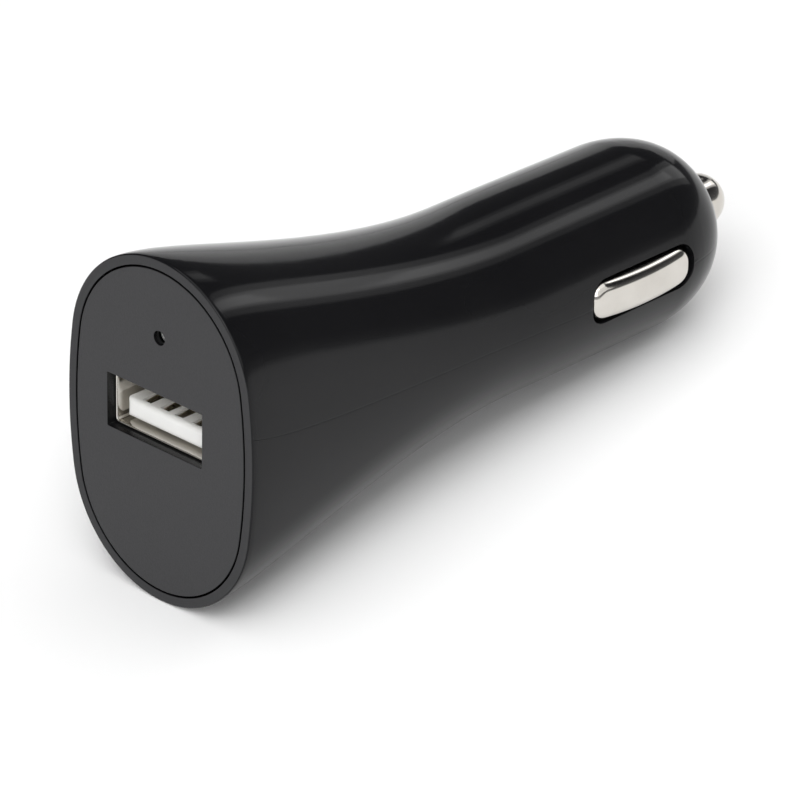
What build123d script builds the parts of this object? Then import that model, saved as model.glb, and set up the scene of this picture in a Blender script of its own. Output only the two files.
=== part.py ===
# Car USB charger plug: a two-half moulded housing that flares from a 12 V plug barrel to an oval face,
# with a USB port in the face, a sprung centre contact at the nose and two sprung side contacts.
# X runs along the plug axis towards the nose, Z is up, and the straight barrel starts at X = 0.
import os
from math import atan2, cos, sin, sqrt

from build123d import *

os.makedirs("parts", exist_ok=True)

# Barrel and nose
barrel_radius = 10.45
collar_length = 7.2
barrel_draft = 0.12
barrel_length = 22.2
nose_length = 9.8
nose_end_radius = 4.3
nose_thickness = 6.5

# Flared head and its oval face
flare_length = 44.0
flare_lead = 6.0
flare_tail = 17.0
face_width = 25.9
face_height = 37.3
face_side_bow = 0.45
face_rise = 0.45
flare_sections = 8
wall = 1.7
rim_width = 1.1
rim_chamfer = 0.25

# Parting line between the two halves, which climbs from the barrel's middle to the face
seam_gap = 0.06
seam_rise = 4.3
seam_lead = 8.0
seam_lead_drop = 2.4
seam_tail = 20.0
seam_tail_rise = 0.5
seam_end = 6.0
lip_height = 0.9
lip_clearance = 0.1

# Pegs that join the halves
peg_radius = 0.8
peg_length = 2.6
peg_clearance = 0.08
boss_radius = 1.5
boss_depth = 4.5
peg_inset = 0.8
front_peg_setback = 14.0
middle_peg_setback = 30.0
nose_peg_setback = 3.4
nose_peg_margin = 3.15

# Face plate
plate_thickness = 2.0
plate_gap = 0.18
hook_width = 5.0
hook_length = 5.0
hook_thickness = 1.0
hook_bump = 0.85
hook_bump_length = 1.0
hook_clearance = 0.2

# Sprung centre contact
tip_radius = 3.0
tip_round = 3.2
tip_reach = 6.8
tip_clearance = 0.15
tip_flange_radius = 4.1
tip_flange_thickness = 1.4
tip_flange_gap = 0.1
tip_tail_radius = 2.4
tip_tail_length = 4.0
guide_clearance = 0.25
guide_wall = 1.15
guide_length = 10.0
spring_wire = 0.5
spring_turns = 6.0
spring_length = 11.8
spring_end_gap = 0.05
terminal_thickness = 0.4
terminal_arm_width = 3.0
bulkhead_thickness = 1.6
bulkhead_half_width = 6.0

# Sprung side contacts, one leaf with a domed pad on each side
slot_setback = 6.55
slot_length = 15.9
slot_height = 5.2
slot_corner = 2.2
slot_rise = 0.15
pad_gap = 0.32
pad_proud = 0.65
pad_end_drop = 0.8
pad_cross_radius = 7.5
pad_edge_radius = 0.95
pad_skirt = 0.85
leaf_thickness = 0.45
leaf_width = 3.0
leaf_reach = 20.65
leaf_root_y = 5.7
leaf_root_length = 3.0
leaf_tab_width = 1.2
post_length = 2.4
post_width = 2.4
post_clearance = 0.2

# USB receptacle
usb_center_y = 0.72
usb_center_z = 1.62
usb_width = 13.1
usb_height = 5.72
usb_length = 14.0
usb_corner = 0.5
usb_sheet = 0.3
usb_recess = 1.0
window_gap = 0.08
usb_finger_length = 4.6
usb_finger_width = 1.6
usb_finger_slit = 0.35
usb_finger_spacing = 6.0
usb_finger_setback = 3.6
usb_leg_length = 1.6
usb_leg_setback = 11.0
tongue_setback = 0.65
tongue_width = 11.1
tongue_thickness = 2.1
tongue_lift = 0.42
tongue_edge = 0.55
insulator_block_length = 4.2
insulator_clearance = 0.05
contact_width = 1.0
contact_thickness = 0.28
contact_inner_spacing = 2.0
contact_outer_spacing = 7.0
contact_slot_depth = 0.5
contact_slot_margin = 0.12
contact_slot_setback = 0.7
contact_arch = 0.35
contact_tail_setback = 0.7
contact_lead_in = 0.5

# Circuit board
board_thickness = 1.6
board_front_setback = 4.5
board_front_length = 15.5
board_side_gap = 0.2
board_rear_width = 12.0
board_rear_margin = 1.0
hole_clearance = 0.15
tail_proud = 0.8

# Indicator light
led_drop = 8.35
led_hole_radius = 0.75
led_web = 0.7
led_radius = 1.5
led_length = 4.6
led_flange_radius = 1.75
led_flange_thickness = 0.8
led_clearance = 0.12
lead_thickness = 0.5
lead_hole_radius = 0.52
led_lead_spacing = 1.6
led_lead_run = 2.0

# Parts on the board
capacitor_radius = 3.15
capacitor_length = 10.0
capacitor_crimp = 0.3
capacitor_crimp_width = 0.6
capacitor_lead_spacing = 2.5
capacitor_lead_run = 1.2
output_capacitor_gap = 2.4
input_lead_gap = 2.2
inductor_gap = 0.8
inductor_radius = 4.0
inductor_height = 6.6
inductor_flange = 1.2
inductor_core_radius = 2.0
winding_radius = 3.4
winding_clearance = 0.05
chip_length = 4.9
chip_width = 3.9
chip_height = 1.4
chip_standoff = 0.1
chip_chamfer = 0.35
chip_pin_pitch = 1.27
chip_pin_width = 0.42
chip_pin_thickness = 0.2
chip_pin_foot = 1.05
chip_pin_bend = 0.15
diode_offset = 9.0
diode_length = 4.3
diode_width = 2.6
diode_height = 2.0
diode_chamfer = 0.25
diode_tab_height = 1.0
diode_tab_width = 1.4
diode_tab_foot = 0.5
resistor_length = 1.6
resistor_width = 0.8
resistor_height = 0.5
resistor_pitch = 2.4
resistor_row_spacing = 6.0
resistor_gap = 0.9
ceramic_length = 2.0
ceramic_width = 1.25
ceramic_height = 0.9
ceramic_pitch = 4.0
ceramic_row_spacing = 6.0

# Ribs that hold the board and the USB receptacle
rib_thickness = 1.2
cradle_setback = 7.5
cradle_width = 9.0
front_rib_setback = 0.4
middle_rib_offset = 9.1
rear_rib_setback = 8.2
rib_inner_y = 4.4
rib_outer_y = 5.8

# Sizes that follow from the ones above
face_x = -flare_length
nose_end_x = barrel_length + nose_length
cavity_end_x = nose_end_x - nose_thickness
face_half_width = face_width / 2
face_half_height = face_height / 2
face_end_radius = face_half_width - face_side_bow
end_center_at_face = face_half_height - face_end_radius
side_radius_at_face = (
    face_half_width**2 + end_center_at_face**2 - face_end_radius**2
) / (2 * face_side_bow)
side_center_at_face = side_radius_at_face - face_half_width
join_angle = atan2(end_center_at_face, side_center_at_face)
reach = 2 * face_height
plate_back_x = face_x + plate_thickness
hook_tip_x = plate_back_x + hook_length
hook_bump_x = hook_tip_x - hook_bump_length
usb_mouth_x = face_x + usb_recess
usb_end_x = usb_mouth_x + usb_length
usb_bottom = usb_center_z - usb_height / 2
usb_inner_width = usb_width - 2 * usb_sheet
usb_inner_height = usb_height - 2 * usb_sheet
usb_inner_corner = usb_corner - usb_sheet / 2
board_bottom = usb_center_z + usb_height / 2
board_top = board_bottom + board_thickness
front_peg_x = face_x + front_peg_setback
middle_peg_x = face_x + middle_peg_setback
nose_peg_x = nose_end_x - nose_peg_setback
nose_peg_y = tip_radius + tip_clearance + nose_peg_margin
board_front_x = face_x + board_front_setback
board_step_x = board_front_x + board_front_length
tongue_bottom = usb_bottom + usb_sheet + tongue_lift
tongue_top = tongue_bottom + tongue_thickness
tongue_front_x = usb_mouth_x + tongue_setback
insulator_block_x = usb_end_x - insulator_block_length
contact_tail_x = usb_end_x + contact_tail_setback
flange_front_x = cavity_end_x - tip_flange_gap
flange_back_x = flange_front_x - tip_flange_thickness
terminal_front_x = flange_back_x - spring_length
terminal_back_x = terminal_front_x - terminal_thickness
board_rear_end = terminal_front_x + board_rear_margin
guide_radius = tip_flange_radius + guide_clearance
slot_center_x = barrel_length - slot_setback
leaf_root_x = slot_center_x - leaf_reach
pad_length = slot_length - 2 * pad_gap
pad_height = slot_height - 2 * pad_gap
pad_corner = slot_corner - pad_gap
pad_crown = barrel_radius + pad_proud
pad_bow_radius = ((pad_length / 2) ** 2 + pad_end_drop**2) / (2 * pad_end_drop)
pad_base = barrel_radius - wall - pad_skirt
capacitor_z = board_bottom - capacitor_radius - capacitor_crimp / 2
led_height = face_rise + face_half_height - led_drop
led_tip_x = face_x + led_web + led_clearance
led_back_x = led_tip_x + led_length
led_lead_x = led_back_x + led_lead_run
usb_finger_x = usb_mouth_x + usb_finger_setback + usb_finger_length / 2
contact_front_x = tongue_front_x + contact_slot_setback + contact_slot_margin
contact_low_z = tongue_top - contact_slot_depth + contact_thickness / 2
contact_crest_x = (contact_front_x + insulator_block_x) / 2
output_capacitor_x = usb_end_x + output_capacitor_gap
output_lead_x = output_capacitor_x + capacitor_length + capacitor_lead_run
input_lead_x = terminal_back_x - bulkhead_thickness - input_lead_gap
input_capacitor_x = input_lead_x - capacitor_lead_run - capacitor_length
inductor_x = input_capacitor_x - inductor_gap - inductor_radius
chip_x = inductor_x
diode_x = usb_end_x + diode_offset
resistor_x = chip_x + chip_length / 2 + resistor_gap + resistor_pitch
ceramic_x = output_lead_x
front_rib_x = board_step_x - front_rib_setback
middle_rib_x = board_step_x + middle_rib_offset
rear_rib_x = board_rear_end - rear_rib_setback
chip_pin_z = board_top + chip_standoff + chip_height / 2
tip_end_x = nose_end_x + tip_reach
spring_radius = tip_tail_radius + spring_wire
spring_wire_run = spring_length - spring_wire - 2 * spring_end_gap
leaf_pad_x = slot_center_x - pad_length / 2
contact_rows = [
    usb_center_y - contact_outer_spacing / 2,
    usb_center_y - contact_inner_spacing / 2,
    usb_center_y + contact_inner_spacing / 2,
    usb_center_y + contact_outer_spacing / 2,
]


def flare_point(t):
    # A point of the flare's curve: its distance behind the face, and the share of the face's swell left there
    lead = 3 * (1 - t) ** 2 * t * flare_lead
    tail = 3 * (1 - t) * t**2 * (flare_length - flare_tail)
    back = lead + tail + t**3 * flare_length
    share = (1 - t) ** 3 + 3 * (1 - t) ** 2 * t
    return back, share


def flare_share(x):
    # The share of the face's swell at X, found by halving
    low, high = 0.0, 1.0
    for _ in range(40):
        middle = (low + high) / 2
        if flare_point(middle)[0] < x - face_x:
            low = middle
        else:
            high = middle
    return flare_point(low)[1]


def half_height(x, inset):
    # Half the housing's height above its own middle at X
    share = flare_share(x)
    return barrel_radius + share * (face_half_height - barrel_radius) - inset


def half_width(x, inset):
    # Half the housing's width at X
    return barrel_radius + flare_share(x) * (face_half_width - barrel_radius) - inset


def end_radius(x, inset):
    # Radius of the oval's top and bottom arcs at X
    return barrel_radius + flare_share(x) * (face_end_radius - barrel_radius) - inset


def hook_place(points, side):
    # Points measured out from a hook's outer face, set at the top (side 1) or bottom (side -1) of the housing
    arc = end_radius(hook_tip_x, wall + hook_clearance)
    outer = half_height(hook_tip_x, wall + hook_clearance) - arc + sqrt(arc**2 - (hook_width / 2) ** 2)
    middle = flare_share(hook_tip_x) * face_rise
    return [(x, middle + side * (outer + height)) for x, height in points]


def section(x, inset):
    # The oval of four tangent arcs at X, drawn in by the inset
    share = flare_share(x)
    end_arc = end_radius(x, inset)
    side_radius = barrel_radius + share * (side_radius_at_face - barrel_radius) - inset
    rise = share * face_rise
    side = side_radius - share * side_center_at_face
    end = share * end_center_at_face + end_arc
    join_y = end_arc * cos(join_angle)
    join_z = share * end_center_at_face + end_arc * sin(join_angle)
    with BuildSketch(Plane.YZ.offset(x)) as sketch:
        with BuildLine():
            ThreePointArc((join_y, rise - join_z), (side, rise), (join_y, rise + join_z))
            ThreePointArc((join_y, rise + join_z), (0, rise + end), (-join_y, rise + join_z))
            ThreePointArc((-join_y, rise + join_z), (-side, rise), (-join_y, rise - join_z))
            ThreePointArc((-join_y, rise - join_z), (0, rise - end), (join_y, rise - join_z))
        make_face()
    return sketch.sketch


def flared_solid(inset, straight_end):
    # The flare and a straight run of barrel behind it, drawn in by the inset
    steps = [step / (flare_sections - 1) for step in range(flare_sections)]
    sections = [section(face_x + flare_point(step)[0], inset) for step in steps]
    with BuildPart() as solid:
        loft(sections)
        with BuildSketch(Plane.YZ):
            Circle(barrel_radius - inset)
        extrude(amount=straight_end)
    return solid.part


def seam_height(x):
    # Height of the parting line at X, found by halving along its curve
    low, high = 0.0, 1.0
    start, lead = face_x, face_x + seam_lead
    tail, end = seam_end - seam_tail, seam_end
    for _ in range(40):
        t = (low + high) / 2
        place = (1 - t) ** 3 * start + 3 * (1 - t) ** 2 * t * lead + 3 * (1 - t) * t**2 * tail + t**3 * end
        if place < x:
            low = t
        else:
            high = t
    t = low
    lead_rise = seam_rise - seam_lead_drop
    return (1 - t) ** 3 * seam_rise + 3 * (1 - t) ** 2 * t * lead_rise + 3 * (1 - t) * t**2 * seam_tail_rise


def parting_zone(shift, limit):
    # Everything above or below the parting line, out to the limit
    ends = (face_x - reach, nose_end_x + reach)
    with BuildPart() as zone:
        with BuildSketch(Plane.XZ):
            with BuildLine():
                Bezier(
                    (face_x, seam_rise + shift),
                    (face_x + seam_lead, seam_rise - seam_lead_drop + shift),
                    (seam_end - seam_tail, seam_tail_rise + shift),
                    (seam_end, shift),
                )
                Polyline(
                    (seam_end, shift),
                    (ends[1], shift),
                    (ends[1], limit),
                    (ends[0], limit),
                    (ends[0], seam_rise + shift),
                    (face_x, seam_rise + shift),
                )
            make_face()
        extrude(amount=reach, both=True)
    return zone.part


# Solids that the two halves are cut from: the outside, the middle of the wall and the hollow
with BuildPart() as envelope:
    add(flared_solid(0, collar_length))
    chamfer(envelope.edges().group_by(Axis.X)[0], rim_chamfer)
    with BuildSketch(Plane.XZ):
        with BuildLine():
            EllipticalCenterArc(
                (barrel_length, nose_end_radius),
                nose_length,
                barrel_radius - barrel_draft - nose_end_radius,
                start_angle=0,
                arc_size=90,
            )
            Polyline(
                (barrel_length, barrel_radius - barrel_draft),
                (collar_length, barrel_radius),
                (collar_length, 0),
                (nose_end_x, 0),
                (nose_end_x, nose_end_radius),
            )
        make_face()
    revolve(axis=Axis.X)

wall_middle = flared_solid(wall / 2, cavity_end_x + wall / 2)
hollow = flared_solid(wall, cavity_end_x)
upper_zone = parting_zone(0, reach)
lower_zone = parting_zone(-seam_gap, -reach)
front_peg_y = half_width(front_peg_x, wall + peg_inset)
middle_peg_y = half_width(middle_peg_x, wall + peg_inset)
board_front_width = 2 * (front_peg_y - boss_radius - board_side_gap)
wall_peg_places = [
    (x, side * y)
    for x, y in ((front_peg_x, front_peg_y), (middle_peg_x, middle_peg_y))
    for side in (-1, 1)
]
peg_places = wall_peg_places + [(nose_peg_x, side * nose_peg_y) for side in (-1, 1)]

# Bosses for the pegs, which stand on the wall at both sides of the parting line
with BuildPart() as bosses:
    for x, y in wall_peg_places:
        with Locations((x, y, seam_height(x))):
            Cylinder(boss_radius, 2 * boss_depth)
    add(wall_middle, mode=Mode.INTERSECT)


def lip_ring(outer, clearance):
    # The inner part of the wall between the front and middle bosses, up to the lip's top
    start_x = front_peg_x + boss_radius + 2 * lip_clearance - clearance
    end_x = middle_peg_x - boss_radius - 2 * lip_clearance + clearance
    with BuildPart() as ring:
        with Locations((start_x, 0, 0)):
            Box(end_x - start_x, reach, reach, align=(Align.MIN, Align.CENTER, Align.CENTER))
        add(outer, mode=Mode.INTERSECT)
        add(hollow, mode=Mode.SUBTRACT)
        add(parting_zone(lip_height + clearance, -reach), mode=Mode.INTERSECT)
    return ring.part


# The whole housing before it is parted
with BuildPart() as housing:
    add(envelope.part)
    add(hollow, mode=Mode.SUBTRACT)
    add(bosses.part)
    extrude(section(face_x, rim_width), amount=plate_thickness, mode=Mode.SUBTRACT)
    with BuildSketch(Plane.YZ.offset(cavity_end_x + wall / 2)):
        Circle(guide_radius + guide_wall)
    extrude(amount=-guide_length - wall / 2)
    with BuildSketch(Plane.YZ.offset(cavity_end_x)):
        Circle(guide_radius)
    extrude(amount=-guide_length, mode=Mode.SUBTRACT)
    with BuildSketch(Plane.YZ.offset(cavity_end_x)):
        Circle(tip_radius + tip_clearance)
    extrude(amount=nose_thickness, mode=Mode.SUBTRACT)
    for side in (-1, 1):
        with BuildSketch(Plane.XZ):
            with BuildLine():
                Polyline(
                    *hook_place(
                        [
                            (hook_bump_x - hook_clearance, 0),
                            (hook_bump_x - hook_clearance, hook_bump + hook_clearance),
                            (hook_tip_x + hook_clearance, hook_bump + hook_clearance),
                            (hook_tip_x + hook_clearance, 0),
                        ],
                        side,
                    ),
                    close=True,
                )
            make_face()
        extrude(amount=hook_width / 2 + hook_clearance, both=True, mode=Mode.SUBTRACT)
        with BuildSketch(Plane.XZ.offset(-side * (guide_radius + guide_wall + wall / 2))):
            with Locations((slot_center_x, slot_rise)):
                RectangleRounded(slot_length, slot_height, slot_corner)
        extrude(amount=-side * barrel_radius, mode=Mode.SUBTRACT)

# Upper half shell, with sockets for the pegs and ribs down to the board
with BuildPart() as upper_ribs:
    for x in (front_rib_x, rear_rib_x):
        for side in (-1, 1):
            with Locations((x, side * (rib_inner_y + rib_outer_y) / 2, board_top)):
                Box(
                    rib_thickness,
                    rib_outer_y - rib_inner_y,
                    face_height,
                    align=(Align.CENTER, Align.CENTER, Align.MIN),
                )
    add(wall_middle, mode=Mode.INTERSECT)

with BuildPart() as upper_shell:
    add(housing.part)
    add(upper_zone, mode=Mode.INTERSECT)
    add(lip_ring(wall_middle, lip_clearance), mode=Mode.SUBTRACT)
    add(upper_ribs.part)
    for x, y in peg_places:
        with Locations((x, y, seam_height(x))):
            Cylinder(peg_radius + peg_clearance, 2 * (peg_length + peg_clearance), mode=Mode.SUBTRACT)
upper_shell.part.label = "upper_shell"
export_step(upper_shell.part, "parts/upper_shell.step")

# Lower half shell, with the pegs, the cradle under the port, board posts, the bulkhead and the leaf posts
with BuildPart() as lower_ribs:
    with Locations((usb_mouth_x + cradle_setback, usb_center_y, usb_bottom)):
        Box(rib_thickness, cradle_width, face_height, align=(Align.CENTER, Align.CENTER, Align.MAX))
    for side in (-1, 1):
        with Locations((middle_rib_x, side * (rib_inner_y + rib_outer_y) / 2, board_bottom)):
            Box(
                rib_thickness,
                rib_outer_y - rib_inner_y,
                face_height,
                align=(Align.CENTER, Align.CENTER, Align.MAX),
            )
        with Locations((leaf_root_x, side * leaf_root_y, leaf_width / 2)):
            Box(post_length, post_width, face_height, align=(Align.CENTER, Align.CENTER, Align.MAX))
        with Locations((leaf_root_x, side * leaf_root_y, -leaf_width / 2 - post_clearance)):
            Box(
                post_length,
                leaf_thickness + 2 * post_clearance,
                face_height,
                align=(Align.CENTER, Align.CENTER, Align.MIN),
                mode=Mode.SUBTRACT,
            )
    with Locations((terminal_back_x, 0, board_bottom)):
        Box(
            bulkhead_thickness,
            2 * bulkhead_half_width,
            face_height,
            align=(Align.MAX, Align.CENTER, Align.MAX),
        )
    add(wall_middle, mode=Mode.INTERSECT)

with BuildPart() as lower_shell:
    add(housing.part)
    add(lower_zone, mode=Mode.INTERSECT)
    add(lip_ring(flared_solid(wall / 2 + lip_clearance, collar_length), 0))
    add(lower_ribs.part)
    for x, y in peg_places:
        with Locations((x, y, seam_height(x))):
            Cylinder(peg_radius, 2 * peg_length)
lower_shell.part.label = "lower_shell"
export_step(lower_shell.part, "parts/lower_shell.step")

# Face plate: an oval inset plate with the port window, the light's hole and two snap hooks
with BuildPart() as face_plate:
    extrude(section(face_x, rim_width + plate_gap), amount=plate_thickness)
    with BuildSketch(Plane.YZ.offset(face_x)):
        with Locations((usb_center_y, usb_center_z)):
            Rectangle(usb_width + 2 * window_gap, usb_height + 2 * window_gap)
        with Locations((0, led_height)):
            Circle(led_hole_radius)
    extrude(amount=plate_thickness, mode=Mode.SUBTRACT)
    with BuildSketch(Plane.YZ.offset(face_x + led_web)):
        with Locations((0, led_height)):
            Circle(led_radius + led_clearance)
    extrude(amount=plate_thickness, mode=Mode.SUBTRACT)
    for side in (-1, 1):
        with BuildSketch(Plane.XZ):
            with BuildLine():
                Polyline(
                    *hook_place(
                        [
                            (plate_back_x, -hook_thickness),
                            (hook_tip_x, -hook_thickness),
                            (hook_tip_x, 0),
                            (hook_bump_x, hook_bump),
                            (hook_bump_x, 0),
                            (plate_back_x, 0),
                        ],
                        side,
                    ),
                    close=True,
                )
            make_face()
        extrude(amount=hook_width / 2, both=True)
face_plate.part.label = "face_plate"
export_step(face_plate.part, "parts/face_plate.step")

# Indicator light: a moulded lens with a domed end and a flange, held behind the plate's hole
with BuildPart() as indicator_led:
    with BuildSketch(Plane.XZ):
        with BuildLine():
            RadiusArc(
                (led_tip_x, led_height),
                (led_tip_x + led_radius, led_height + led_radius),
                led_radius,
            )
            Polyline(
                (led_tip_x + led_radius, led_height + led_radius),
                (led_back_x - led_flange_thickness, led_height + led_radius),
                (led_back_x - led_flange_thickness, led_height + led_flange_radius),
                (led_back_x, led_height + led_flange_radius),
                (led_back_x, led_height),
                (led_tip_x, led_height),
            )
        make_face()
    revolve(axis=Axis((0, 0, led_height), (1, 0, 0)))
indicator_led.part.label = "indicator_led"
export_step(indicator_led.part, "parts/indicator_led.step")

# The light's two leads, bent down into the board
with BuildPart() as led_leads:
    for side in (-1, 1):
        with BuildSketch(Plane.XZ.offset(-side * led_lead_spacing / 2)):
            with BuildLine():
                FilletPolyline(
                    (led_back_x, led_height),
                    (led_lead_x, led_height),
                    (led_lead_x, board_bottom + hole_clearance),
                    radius=lead_thickness,
                )
            trace(line_width=lead_thickness)
        extrude(amount=lead_thickness / 2, both=True)
led_leads.part.label = "led_leads"
export_step(led_leads.part, "parts/led_leads.step")

# USB receptacle shell: a folded nickel-plated sheet with spring fingers and two legs into the board
with BuildPart() as usb_shell:
    with BuildSketch(Plane.YZ.offset(usb_mouth_x)):
        with Locations((usb_center_y, usb_center_z)):
            RectangleRounded(usb_width, usb_height, usb_corner)
            RectangleRounded(usb_inner_width, usb_inner_height, usb_inner_corner, mode=Mode.SUBTRACT)
    extrude(amount=usb_length)
    with BuildSketch(Plane.XY.offset(usb_center_z)):
        with Locations((usb_finger_x, usb_center_y)):
            with GridLocations(1, usb_finger_spacing, 1, 2):
                Rectangle(usb_finger_length, usb_finger_width + 2 * usb_finger_slit)
        with Locations((usb_finger_x + usb_finger_slit, usb_center_y)):
            with GridLocations(1, usb_finger_spacing, 1, 2):
                Rectangle(usb_finger_length, usb_finger_width, mode=Mode.SUBTRACT)
    extrude(amount=usb_height, both=True, mode=Mode.SUBTRACT)
    with Locations((usb_mouth_x + usb_leg_setback, usb_center_y, usb_center_z)):
        with GridLocations(1, usb_width - usb_sheet, 1, 2):
            Box(
                usb_leg_length,
                usb_sheet,
                board_top + tail_proud - usb_center_z,
                align=(Align.CENTER, Align.CENTER, Align.MIN),
            )
usb_shell.part.label = "usb_shell"
export_step(usb_shell.part, "parts/usb_shell.step")

# White insulator: a block that closes the receptacle's back, and the tongue with a slot for each contact
with BuildPart() as usb_insulator:
    with Locations((insulator_block_x, usb_center_y, usb_center_z)):
        Box(
            insulator_block_length,
            usb_inner_width - 2 * insulator_clearance,
            usb_inner_height - 2 * insulator_clearance,
            align=(Align.MIN, Align.CENTER, Align.CENTER),
        )
    fillet(usb_insulator.edges().filter_by(Axis.X), usb_inner_corner)
    with Locations((tongue_front_x, usb_center_y, tongue_bottom)):
        Box(
            insulator_block_x - tongue_front_x,
            tongue_width,
            tongue_thickness,
            align=(Align.MIN, Align.CENTER, Align.MIN),
        )
    fillet(usb_insulator.faces().sort_by(Axis.X)[0].edges(), tongue_edge)
    for y in contact_rows:
        with Locations((tongue_front_x + contact_slot_setback, y, tongue_top)):
            Box(
                usb_length,
                contact_width + 2 * contact_slot_margin,
                2 * contact_slot_depth,
                align=(Align.MIN, Align.CENTER, Align.CENTER),
                mode=Mode.SUBTRACT,
            )
usb_insulator.part.label = "usb_insulator"
export_step(usb_insulator.part, "parts/usb_insulator.step")

# Four spring contacts on the tongue, with tails that turn up into the board
with BuildPart() as usb_contacts:
    for y in contact_rows:
        with BuildSketch(Plane.XZ.offset(-y)):
            with BuildLine():
                FilletPolyline(
                    (contact_front_x, contact_low_z),
                    (contact_front_x + contact_lead_in, contact_low_z),
                    (contact_crest_x, contact_low_z + contact_arch),
                    (insulator_block_x, contact_low_z),
                    (contact_tail_x, contact_low_z),
                    (contact_tail_x, board_top + tail_proud),
                    radius=contact_thickness,
                )
            trace(line_width=contact_thickness)
        extrude(amount=contact_width / 2, both=True)
usb_contacts.part.label = "usb_contacts"
export_step(usb_contacts.part, "parts/usb_contacts.step")

# Circuit board: wide under the port, narrow in the barrel, with a hole for each tail
with BuildPart() as circuit_board:
    with BuildSketch(Plane.XY.offset(board_bottom)):
        with Locations((board_front_x, 0)):
            Rectangle(board_front_length, board_front_width, align=(Align.MIN, Align.CENTER))
        with Locations((board_step_x, 0)):
            Rectangle(board_rear_end - board_step_x, board_rear_width, align=(Align.MIN, Align.CENTER))
        for y in contact_rows:
            with Locations((contact_tail_x, y)):
                Rectangle(
                    contact_thickness + 2 * hole_clearance,
                    contact_width + 2 * hole_clearance,
                    mode=Mode.SUBTRACT,
                )
        with Locations((usb_mouth_x + usb_leg_setback, usb_center_y)):
            with GridLocations(1, usb_width - usb_sheet, 1, 2):
                Rectangle(
                    usb_leg_length + 2 * hole_clearance,
                    usb_sheet + 2 * hole_clearance,
                    mode=Mode.SUBTRACT,
                )
        with Locations((led_lead_x, 0)):
            with GridLocations(1, led_lead_spacing, 1, 2):
                Circle(lead_hole_radius, mode=Mode.SUBTRACT)
        for x in (output_lead_x, input_lead_x):
            with Locations((x, 0)):
                with GridLocations(1, capacitor_lead_spacing, 1, 2):
                    Circle(lead_hole_radius, mode=Mode.SUBTRACT)
        with Locations(((terminal_front_x + terminal_back_x) / 2, 0)):
            Rectangle(
                terminal_thickness + 2 * hole_clearance,
                terminal_arm_width + 2 * hole_clearance,
                mode=Mode.SUBTRACT,
            )
    extrude(amount=board_thickness)
circuit_board.part.label = "circuit_board"
export_step(circuit_board.part, "parts/circuit_board.step")


def capacitor_can(x):
    # A can lying along X under the board, crimped near its lead end
    end_x = x + capacitor_length
    top_z = capacitor_z + capacitor_radius
    with BuildPart() as can:
        with BuildSketch(Plane.XZ):
            with BuildLine():
                Polyline(
                    (x, capacitor_z),
                    (x, top_z),
                    (end_x - 3 * capacitor_crimp_width, top_z),
                    (end_x - 2 * capacitor_crimp_width, top_z - capacitor_crimp),
                    (end_x - capacitor_crimp_width, top_z),
                    (end_x, top_z),
                    (end_x, capacitor_z),
                    close=True,
                )
            make_face()
        revolve(axis=Axis((0, 0, capacitor_z), (1, 0, 0)))
    return can.part


# Input and output smoothing capacitors, and their leads bent up into the board
with BuildPart() as output_capacitor:
    add(capacitor_can(output_capacitor_x))
output_capacitor.part.label = "output_capacitor"
export_step(output_capacitor.part, "parts/output_capacitor.step")

with BuildPart() as input_capacitor:
    add(capacitor_can(input_capacitor_x))
input_capacitor.part.label = "input_capacitor"
export_step(input_capacitor.part, "parts/input_capacitor.step")

with BuildPart() as capacitor_leads:
    for x in (output_lead_x, input_lead_x):
        for side in (-1, 1):
            with BuildSketch(Plane.XZ.offset(-side * capacitor_lead_spacing / 2)):
                with BuildLine():
                    FilletPolyline(
                        (x - capacitor_lead_run, capacitor_z),
                        (x, capacitor_z),
                        (x, board_top + tail_proud),
                        radius=lead_thickness,
                    )
                trace(line_width=lead_thickness)
            extrude(amount=lead_thickness / 2, both=True)
capacitor_leads.part.label = "capacitor_leads"
export_step(capacitor_leads.part, "parts/capacitor_leads.step")

# Power inductor: a ferrite drum under the board with a copper winding between its flanges
with BuildPart() as inductor_core:
    with Locations((inductor_x, 0, board_bottom - inductor_height)):
        Cylinder(inductor_radius, inductor_height, align=(Align.CENTER, Align.CENTER, Align.MIN))
    with BuildSketch(Plane.XY.offset(board_bottom - inductor_height + inductor_flange)):
        with Locations((inductor_x, 0)):
            Circle(inductor_radius)
            Circle(inductor_core_radius, mode=Mode.SUBTRACT)
    extrude(amount=inductor_height - 2 * inductor_flange, mode=Mode.SUBTRACT)
inductor_core.part.label = "inductor_core"
export_step(inductor_core.part, "parts/inductor_core.step")

with BuildPart() as inductor_winding:
    with BuildSketch(Plane.XY.offset(board_bottom - inductor_height + inductor_flange + winding_clearance)):
        with Locations((inductor_x, 0)):
            Circle(winding_radius)
            Circle(inductor_core_radius + winding_clearance, mode=Mode.SUBTRACT)
    extrude(amount=inductor_height - 2 * inductor_flange - 2 * winding_clearance)
inductor_winding.part.label = "inductor_winding"
export_step(inductor_winding.part, "parts/inductor_winding.step")

# Converter chip on top of the board, and its eight bent pins
with BuildPart() as converter_chip:
    with Locations((chip_x, 0, board_top + chip_standoff)):
        Box(chip_length, chip_width, chip_height, align=(Align.CENTER, Align.CENTER, Align.MIN))
    chamfer(converter_chip.faces().sort_by(Axis.Z)[-1].edges(), chip_chamfer)
converter_chip.part.label = "converter_chip"
export_step(converter_chip.part, "parts/converter_chip.step")

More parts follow.
